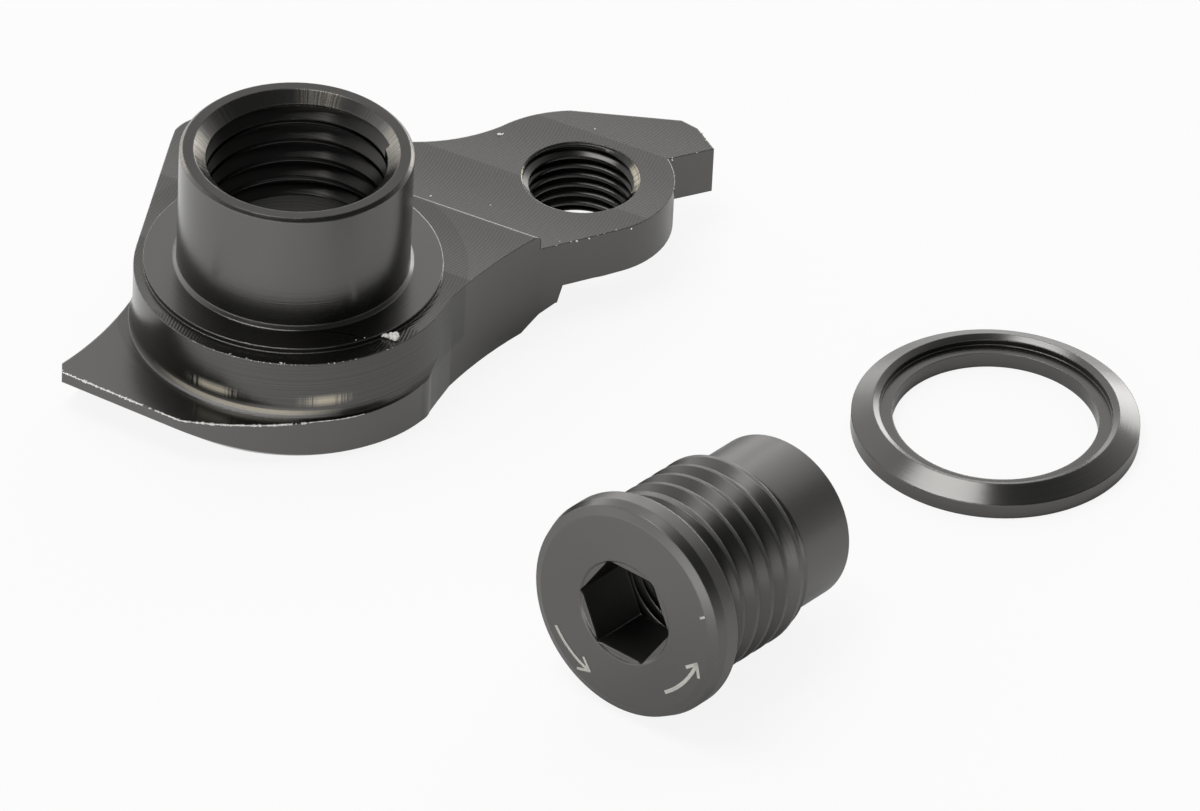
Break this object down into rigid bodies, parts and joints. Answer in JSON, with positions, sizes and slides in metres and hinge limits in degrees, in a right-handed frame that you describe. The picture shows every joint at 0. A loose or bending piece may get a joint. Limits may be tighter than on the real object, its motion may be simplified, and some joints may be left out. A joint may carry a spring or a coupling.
{
  "type": "derailleur hanger",
  "caption": "Black bicycle derailleur hanger with threaded barrel and stop fin, laid out with its hollow flanged bolt and stepped washer.",
  "frame": {"origin": "on the barrel's axis, at the hanger's flat underside, which is also the table that the loose pieces lie on", "axes": "+Z along the barrel's axis, from the hub side to the outer side; +X from the barrel's axis to the derailleur's threaded hole"},
  "size_m": [0.0799, 0.0853, 0.0214],
  "materials": {
    "hanger": "black anodised over milled faces, satin",
    "bolt": "black anodised over turned faces, satin",
    "washer": "black anodised over turned faces, satin"
  },
  "bodies": {
    "root": {"hanger": "hanger", "hanger_bolt": "bolt", "washer": "washer"}
  },
  "joints": []
}
